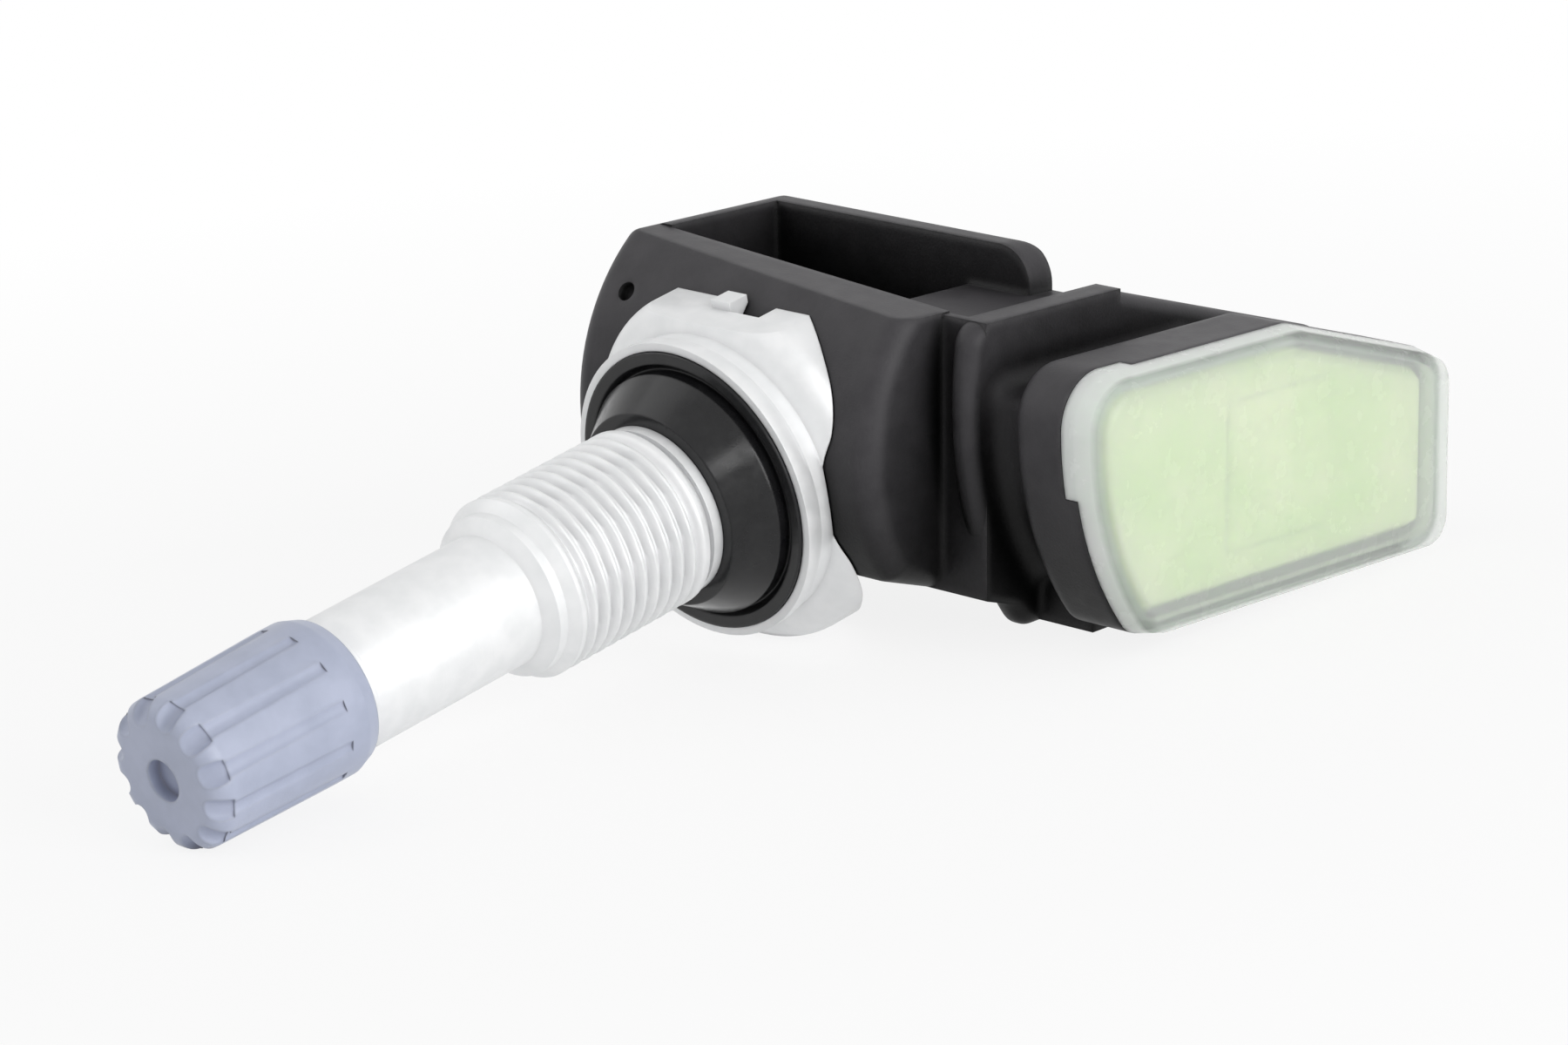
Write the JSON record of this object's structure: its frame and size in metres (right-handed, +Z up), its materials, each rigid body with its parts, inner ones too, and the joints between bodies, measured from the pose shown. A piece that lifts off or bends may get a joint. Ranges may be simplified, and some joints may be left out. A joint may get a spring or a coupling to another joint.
{
  "type": "tyre pressure sensor",
  "caption": "Tyre pressure sensor: black housing with a pale end cover, swivelled on a clamp-in metal valve with rubber rim seal, thread and ribbed cap.",
  "frame": {"origin": "on the valve's axis, at the middle of the mounting thread", "axes": "as it lies on a table: +Z up, the valve runs towards -Y and a little down, the housing is at +Y with its pale cover towards +X"},
  "size_m": [0.039, 0.0807, 0.0235],
  "materials": {
    "housing": "satin",
    "end_cover": "translucent",
    "potting": "soft satin",
    "circuit_board": "satin",
    "battery_cell": "satin",
    "battery_lower_tab": "satin",
    "battery_upper_tab": "satin",
    "pressure_chip": "matte",
    "port_seal": "matte",
    "wake_coil": "matte",
    "crystal": "satin",
    "capacitors": "matte",
    "aerial_loop": "satin",
    "valve_stem": "satin",
    "rim_grommet": "satin",
    "fixing_screw": "satin",
    "saddle_washer": "satin",
    "core_plug": "satin",
    "core_barrel": "satin",
    "core_gasket": "matte",
    "core_pin": "satin",
    "core_cup_seal": "matte",
    "core_spring": "satin",
    "valve_cap": "satin",
    "cap_seal": "matte"
  },
  "bodies": {
    "valve": {"valve_stem": "valve_stem", "rim_grommet": "rim_grommet", "fixing_screw": "fixing_screw", "saddle_washer": "saddle_washer", "core_plug": "core_plug", "core_barrel": "core_barrel", "core_gasket": "core_gasket"},
    "housing": {"housing": "housing", "end_cover": "end_cover", "potting": "potting", "circuit_board": "circuit_board", "battery_cell": "battery_cell", "battery_lower_tab": "battery_lower_tab", "battery_upper_tab": "battery_upper_tab", "pressure_chip": "pressure_chip", "port_seal": "port_seal", "wake_coil": "wake_coil", "crystal": "crystal", "capacitors": "capacitors", "aerial_loop": "aerial_loop"},
    "cap_carrier": {"cap_seal": "cap_seal"},
    "cap": {"valve_cap": "valve_cap"},
    "core_pin": {"core_pin": "core_pin", "core_cup_seal": "core_cup_seal", "core_spring": "core_spring"}
  },
  "joints": [
    {"name": "housing_tilt", "type": "hinge", "parent": "valve", "child": "housing", "pos_m": [0, 0.0243, 0.00353], "axis": [0.9976, 0.0099, -0.0684], "range_deg": [-3.9, 14.1]},
    {"name": "cap_lift", "type": "slide", "parent": "valve", "child": "cap_carrier", "axis": [0, -0.9896, -0.1438], "range_m": [0, 0.00397]},
    {"name": "cap_turn", "type": "hinge", "parent": "cap_carrier", "child": "cap", "pos_m": [0, 0, 0], "axis": [0, -0.9896, -0.1438], "range_deg": [0, 1800]},
    {"name": "core_press", "type": "slide", "parent": "valve", "child": "core_pin", "axis": [0, 0.9896, 0.1438], "range_m": [0, 0.001], "stiffness_N_per_m": 1500, "springref_m": -0.002}
  ],
  "couplings": [
    {"joint": "cap_turn", "follows": "cap_lift", "rad_per_m": 7913.3}
  ]
}
